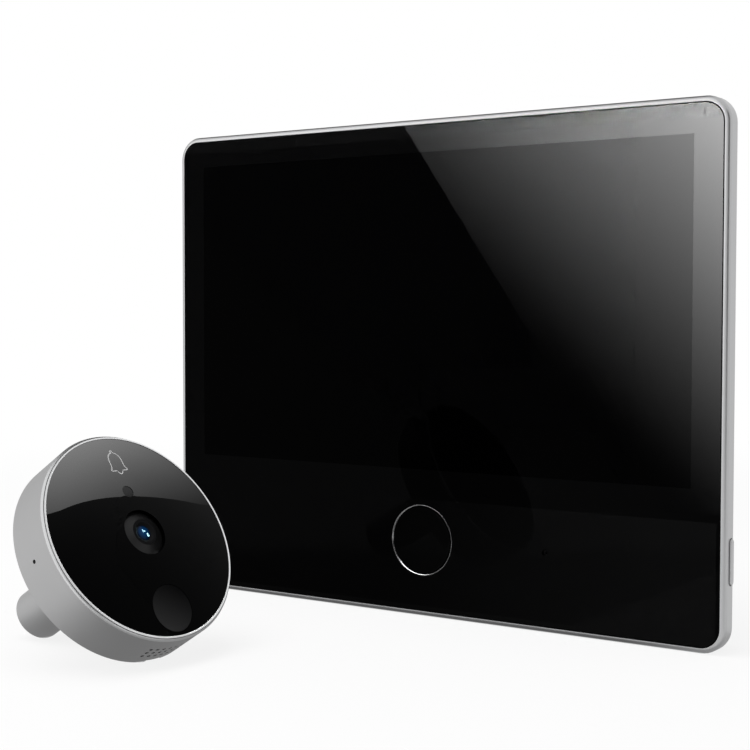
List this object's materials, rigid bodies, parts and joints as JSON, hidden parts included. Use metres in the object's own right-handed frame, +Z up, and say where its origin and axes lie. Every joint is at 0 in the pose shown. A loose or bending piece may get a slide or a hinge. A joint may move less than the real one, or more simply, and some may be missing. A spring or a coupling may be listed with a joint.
{
  "type": "peephole door camera",
  "caption": "Door viewer set: a flat indoor monitor with a black glass front, home key and door bracket, and a round outdoor camera whose barrel passes through the door.",
  "frame": {"origin": "middle of the monitor's bottom face, on the surface that the set stands on", "axes": "+Z up, +X to the right of someone looking at the screen, the screen faces -Y"},
  "size_m": [0.1728, 0.1216, 0.134],
  "materials": {
    "frame_metal": "satin blasted silver grey",
    "cover_glass": "polished, black printed from behind",
    "adhesive": "matt black foam tape",
    "screen": "dark, switched off",
    "ring_metal": "polished thin ring",
    "key_cap": "gloss black",
    "switch_plastic": "matt black",
    "circuit_board": "green solder resist",
    "boot_rubber": "matt black",
    "socket_metal": "bright pressed steel",
    "socket_plastic": "natural nylon",
    "battery_foil": "dull foil pouch",
    "speaker_body": "matt black",
    "cover_plastic": "fine moulded grain, charcoal",
    "screw_steel": "plated",
    "bracket_steel": "grey powder coat",
    "housing_metal": "satin blasted silver grey",
    "bright_metal": "polished",
    "face_glass": "polished, black printed from behind",
    "hood_plastic": "satin black",
    "lens_glass": "coated, blue sheen",
    "chip": "dark epoxy",
    "motion_window": "satin black, passes infrared",
    "light_pipe": "smoked",
    "touch_metal": "bare foil",
    "gasket_rubber": "matt black",
    "barrel_metal": "satin turned"
  },
  "bodies": {
    "monitor": {"front_frame": "frame_metal", "cover_glass": "cover_glass", "glass_adhesive": "adhesive", "display_panel": "screen", "home_ring": "ring_metal", "home_switch": "switch_plastic", "side_switch": "switch_plastic", "key_board": "circuit_board", "indoor_microphone": "boot_rubber", "charging_socket": "socket_metal", "main_board": "circuit_board", "board_shield": "socket_metal", "cable_socket": "socket_plastic", "battery": "battery_foil", "indoor_speaker": "speaker_body", "rear_cover": "cover_plastic", "cover_screws": "screw_steel"},
    "home_key": {"home_button": "key_cap"},
    "side_key": {"side_button": "frame_metal"},
    "bracket": {"door_bracket": "bracket_steel"},
    "camera_unit": {"camera_housing": "housing_metal", "bezel_ring": "bright_metal", "face_glass": "face_glass", "face_adhesive": "adhesive", "lens_hood": "hood_plastic", "lens_barrel": "hood_plastic", "front_lens": "lens_glass", "lens_holder": "switch_plastic", "image_sensor": "chip", "pir_lens": "motion_window", "pir_sensor": "socket_metal", "light_sensor": "light_pipe", "ir_leds": "chip", "bell_touch_pad": "touch_metal", "camera_board": "circuit_board", "outdoor_speaker": "speaker_body", "outdoor_microphone": "socket_metal", "rear_plate": "cover_plastic", "plate_screws": "screw_steel", "door_gasket": "gasket_rubber", "barrel_tube": "barrel_metal"}
  },
  "joints": [
    {"name": "home_press", "type": "slide", "parent": "monitor", "child": "home_key", "axis": [0, 1, 0], "range_m": [0, 0.0004], "stiffness_N_per_m": 1200, "springref_m": -0.0008},
    {"name": "side_press", "type": "slide", "parent": "monitor", "child": "side_key", "axis": [-1, 0, 0], "range_m": [0, 0.0003], "stiffness_N_per_m": 1200, "springref_m": -0.0008},
    {"name": "bracket_slide", "type": "slide", "parent": "monitor", "child": "bracket", "axis": [0, 0, -1], "range_m": [0, 0.007]},
    {"name": "camera_lift", "type": "slide", "parent": "monitor", "child": "camera_unit", "axis": [0, 0, 1], "range_m": [0, 0.14]}
  ]
}
